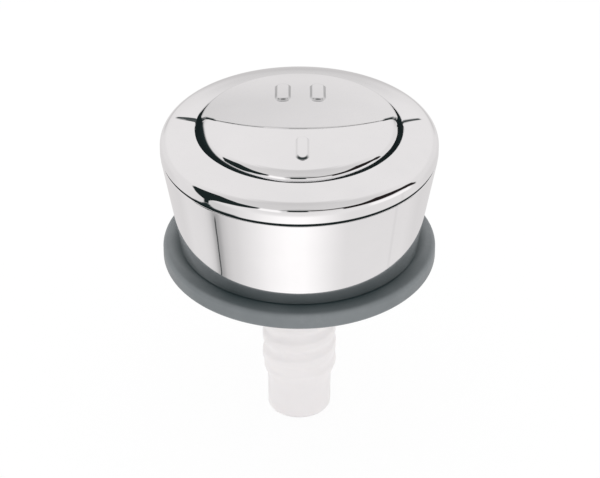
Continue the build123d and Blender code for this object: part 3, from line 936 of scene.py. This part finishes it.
# The wire's section has one axis away from the coil's axis and one square to that and to the helix.
def springRows(size, y):
    t = np.linspace(0, 2 * np.pi * size["turns"], size["steps"])[:, None]
    rise = (size["high"] - size["low"]) / (2 * np.pi * size["turns"])
    slant = np.hypot(size["radius"], rise)
    around = roundAngles(size["sides"])[None]
    thick = np.full_like(t, size["wire"])
    thick[[0, -1]] = 0
    bulge = size["radius"] + thick * np.cos(around)
    up = thick * np.sin(around)
    coilX = bulge * np.cos(t) + up * rise / slant * np.sin(t)
    coilY = bulge * np.sin(t) - up * rise / slant * np.cos(t)
    coilZ = size["low"] + rise * t + up * size["radius"] / slant
    return np.stack([coilX, coilY + y, coilZ], -1)


for name, y, joint, node in (
    ("fullFlushSpring", 14.5, "full_flush_press", "full_flush_spring"),
    ("halfFlushSpring", -17.8, "half_flush_press", "half_flush_spring"),
):
    shell = shellOf(springRows(springSizes, y))
    coil = addPiece(name, [shell], springSteel, "housing", node, sharp=70)
    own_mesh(coil)

for node, finish in (
    ("guide_plate", guidePlastic),
    ("guide_screws", screwSteel),
    ("full_flush_slider", sliderPlastic),
    ("half_flush_slider", sliderPlastic),
    ("full_flush_rod", rodPlastic),
    ("half_flush_rod", rodPlastic),
):
    nodes[node].data.materials.clear()
    nodes[node].data.materials.append(finish)


# Studio: a white floor in white light, and a light tent that only the plating mirrors.
studio = {
    "floorHeight": -48.7, "floorHalf": 4000, "floorColor": (0.93, 0.93, 0.93, 1),
    "floorGlow": 0.9, "glowStrength": 1.015,
    "tentRadius": 1500, "tentCentre": 36, "clothStart": 34, "clothLift": 0.2,
    "tentSteps": (0.75, 0.8), "seamSteps": (-74, -68, 0.2), "seamShift": 0.01,  # in degrees
    "plating": 0.94, "tint": (1.02, 0.995, 0.995),
    "toneSteps": 1441, "toneBlur": 13,
}


# An open grid of points as a stage object, with a glow colour at each point if given.
def stageObject(name, rows, material, glow=None):
    rows = np.asarray(rows, float)
    high, wide, _ = rows.shape
    quads = gridQuads(high, wide, False).reshape(high - 1, wide, 4)[:, :-1].reshape(-1, 4)
    if glow is not None:
        glow = ("glow", "FLOAT_COLOR", "color", np.concatenate([glow, np.ones((high, wide, 1))], -1))
    item = meshObject(name, rows.reshape(-1, 3), quads, material, glow)
    return item


# A matt floor that turns most of the way to a plain glow where it is seen directly or mirrored.
def floorMaterial():
    material, tree, shader = newMaterial(
        "paleFloor", Base_Color=studio["floorColor"], Roughness=0.9, Specular_IOR_Level=0.0
    )
    path = addNode(tree, "LightPath", {}).outputs
    seen = addValues(tree, path["Is Camera Ray"], path["Is Glossy Ray"])
    seen = addValues(tree, seen, path["Is Transmission Ray"])
    share = multiply(tree, seen, studio["floorGlow"], use_clamp=True)
    glow = addNode(tree, "Emission", {"Strength": studio["glowStrength"]}).outputs["Emission"]
    mix = addNode(tree, "MixShader", {"Fac": share, 1: shader.outputs["BSDF"], 2: glow}).outputs["Shader"]
    feed(tree, tree.nodes["Material Output"], {"Surface": mix})
    return material


half, level = studio["floorHalf"], studio["floorHeight"]
stageObject("floor", [[(x, y, level) for x in (-half, half)] for y in (-half, half)], floorMaterial())


# Glow read from a surface's own colours.
def tentMaterial():
    material, tree, shader = newMaterial("tentCloth")
    tree.nodes.remove(shader)
    colors = addNode(tree, "Attribute", {}, attribute_name="glow").outputs["Color"]
    glow = addNode(tree, "Emission", {"Color": colors}).outputs["Emission"]
    feed(tree, tree.nodes["Material Output"], {"Surface": glow})
    return material


def onlyMirrored(item):
    item.visible_camera = item.visible_diffuse = item.visible_transmission = item.visible_shadow = False


# Tones are picture values from 0 to 255 as the plating shows them, by elevation or, on the floor, by azimuth.
frontTones = [(-90, 230), (-8, 226), (8, 224), (22, 216), (40, 206), (62, 205), (84, 200), (90, 201)]
backTones = [(-90, 218), (8, 220), (20, 226), (69, 226), (78, 206), (84, 200), (90, 201)]
tentTurn = (62, 104)  # azimuths between which the front tones turn into the back ones
floorTones = [
    (-180, 214), (-117, 212), (-104, 220), (-88, 218), (-66, 202), (-60, 204), (-51, 212), (-46, 219),
    (-35, 231), (-25, 243), (-15, 250), (-8, 253), (4, 253), (13, 245), (23, 234), (31, 225), (38, 220),
    (99, 220), (117, 212), (180, 214),
]
floorBlend = (4, 34)  # degrees below the horizon between which the floor's tones take over


# Linear light of a tone, by the curve that pictures are stored with, over the plating's brightness.
def lightOf(tone):
    return ((np.asarray(tone) / 255 + 0.055) / 1.055) ** 2.4 / studio["plating"]


# Cards: tint, how much of it, how soft its edges are, and (azimuth, lowest, highest elevation) along it.
tealBlack, brownBlack = np.array((0.0115, 0.0185, 0.0185)), np.array((0.017, 0.0135, 0.0135))
cards = {
    "behind": (lightOf(195), 0.9, 10.0, [(150, -8, 5), (210, -8, 5)]),
    "lightLeft": (lightOf(255), 0.85, 4.0, [(-32, 12, 28), (-14, 10, 28)]),
    "lightRight": (lightOf(254), 0.7, 6.0, [(55, -14, 6), (92, -26, -8)]),
    "left": (tealBlack, 1.0, 3.0, [
        (-89.5, 4, 13.5), (-88.5, 1, 15.5), (-85, -10, 19.5), (-81.7, -19, 24), (-78.5, -28, 27.5),
        (-77, -32, 29.5), (-76, -35, 30.5), (-75, -44, 32), (-73.2, -44, 33.5), (-72, -35.5, 34.3),
        (-71, -32.5, 34.7), (-69.7, -28, 35), (-66.5, -15.5, 34.5), (-64, -9, 33.5), (-57, -1.2, 32.5),
        (-51, 3.7, 30.1), (-45, 8, 30.5), (-38.7, 13.3, 30.3), (-32, 20.5, 29.5),
    ]),
    "right": (brownBlack, 1.0, 2.5, [
        (34, 13, 28), (50, 10, 26), (60, 8, 29), (66.5, 6, 32.5), (70, 5.5, 29.5), (74.5, 3.5, 27.5),
        (78, 3, 24), (82, 2, 21), (86, -0.5, 16), (91, -6, 12), (95, -15, 5), (98, -20, -8),
    ]),
    "middle": (tealBlack, 1.0, 2.5, [(-9.5, 19.5, 31.5), (7.3, 19.5, 31.5)]),
    "arch": (tealBlack, 0.42, 5.0, [(-16, 24, 31), (-9, 27, 38), (0, 28, 41), (9, 27, 39), (20, 24, 32)]),
    "middleRight": (brownBlack, 0.88, 4.0, [(8, 24.5, 32), (35, 20, 29)]),
    "rightSeam": (tealBlack, 0.06, 2.0, [(83, -75, -20), (86, -75, -20)]),
    "seamShade": (tealBlack, 0.2, 12.0, [(-77, -75, -46), (-63, -75, -46)]),
    "seamSide": (tealBlack, 0.3, 6.0, [(-74.5, -75, -50), (-67, -75, -50)]),
    "seam": (tealBlack, 0.9, 0.6, [(-71.9, -75, -52.6), (-70.6, -75, -52.6)]),
}


# Tones at places: straight lines between the given ones, softened by a running mean.
def toneAt(tones, place):
    places, values = zip(*tones)
    blur = studio["toneBlur"]
    spread = np.linspace(-180, 180, studio["toneSteps"])
    sharp = np.pad(np.interp(spread, places, values), blur // 2, mode="edge")
    return np.interp(place, spread, np.convolve(sharp, np.ones(blur) / blur, mode="valid"))


# Share of a card at a direction: smooth ramps across its low and high edges and its two ends.
def cardShare(card, azimuth, elevation):
    _, amount, soft, places = card
    a, low, high = (np.array(column, float) for column in zip(*places))
    azimuth = np.where(azimuth < a[0] - soft, azimuth + 360, azimuth)
    low, high = np.interp(azimuth, a, low), np.interp(azimuth, a, high)
    return amount * between(elevation, low, high, soft) * between(azimuth, a[0], a[-1], soft)


# Glow of the tent in a direction: tones to linear light, then each card's tint mixed in by its share.
def tentGlow(azimuth, elevation):
    turn = smoothStep(np.abs(azimuth), *tentTurn)
    tone = toneAt(frontTones, elevation) * (1 - turn) + toneAt(backTones, elevation) * turn
    below = smoothStep(-elevation, *floorBlend)
    tone = tone * (1 - below) + toneAt(floorTones, azimuth) * below
    glow = np.repeat(lightOf(tone)[..., None], 3, -1)
    for card in cards.values():
        share = cardShare(card, azimuth, elevation)[..., None]
        glow = glow * (1 - share) + card[0] * share
    return glow * np.array(studio["tint"])


# Upper tent: (sin a cos e, -cos a cos e, sin e) times its radius, with azimuth a and elevation e.
def tentDome(azimuth, elevation):
    a, e = np.radians(azimuth), np.radians(elevation)
    rows = np.stack([np.sin(a) * np.cos(e), -np.cos(a) * np.cos(e), np.sin(e)], -1) * studio["tentRadius"]
    rows[..., 2] += studio["tentCentre"]
    return rows


# Floor cloth: circles where lines at these elevations, from a circle about the tent's centre, meet the floor.
def tentFloor(azimuth, elevation):
    a, height = np.radians(azimuth), studio["floorHeight"] + studio["clothLift"]
    drop = studio["tentCentre"] - height
    reach = np.minimum(drop / np.tan(np.radians(-elevation)) + studio["clothStart"], studio["tentRadius"])
    return np.stack([np.sin(a) * reach, -np.cos(a) * reach, np.full_like(a, height)], -1)


tentCloth = tentMaterial()
across, up = studio["tentSteps"]
seam = np.arange(*studio["seamSteps"]) + studio["seamShift"]  # finer steps where the seam's edges are sharp
around = np.sort(np.concatenate([np.arange(-180, 180.1, across), seam]))
for name, shape, low, high in (("tentDome", tentDome, -4.4, 90), ("tentFloor", tentFloor, -74, -3.2)):
    heights = np.linspace(low, high, round((high - low) / up) + 1)
    elevation, azimuth = np.meshgrid(heights, around, indexing="ij")
    onlyMirrored(stageObject(name, shape(azimuth, elevation), tentCloth, tentGlow(azimuth, elevation)))

world = bpy.data.worlds.new("whiteTent")
bpy.context.scene.world = world
world.use_nodes = True
feed(world.node_tree, world.node_tree.nodes["Background"], {"Color": (1, 1, 1, 1), "Strength": 1.0})

cameraPlace = {
    "distance": 800.0, "elevation": 33.19, "target": (0.0, 0.0, 4.5),
    "focal": 3019.0, "middleX": 299.3, "photoWidth": 600,  # in the photo's pixels
}
photoWidth = cameraPlace["photoWidth"]
camera = bpy.data.cameras.new("photoCamera")
camera.sensor_width = 36.0
camera.lens = cameraPlace["focal"] * camera.sensor_width / photoWidth
camera.shift_x = (photoWidth / 2 - cameraPlace["middleX"]) / photoWidth
camera.clip_start = 0.05
camera.clip_end = 50
viewer = bpy.data.objects.new("photoCamera", camera)
bpy.context.scene.collection.objects.link(viewer)
rise = np.radians(cameraPlace["elevation"])
back = Vector((0, -np.cos(rise), np.sin(rise)))
viewer.location = (Vector(cameraPlace["target"]) + back * cameraPlace["distance"]) * mm
viewer.rotation_euler = (-back).to_track_quat("-Z", "Y").to_euler()
bpy.context.scene.camera = viewer
bpy.context.scene.view_settings.view_transform = "Standard"
print("studio and camera ready")
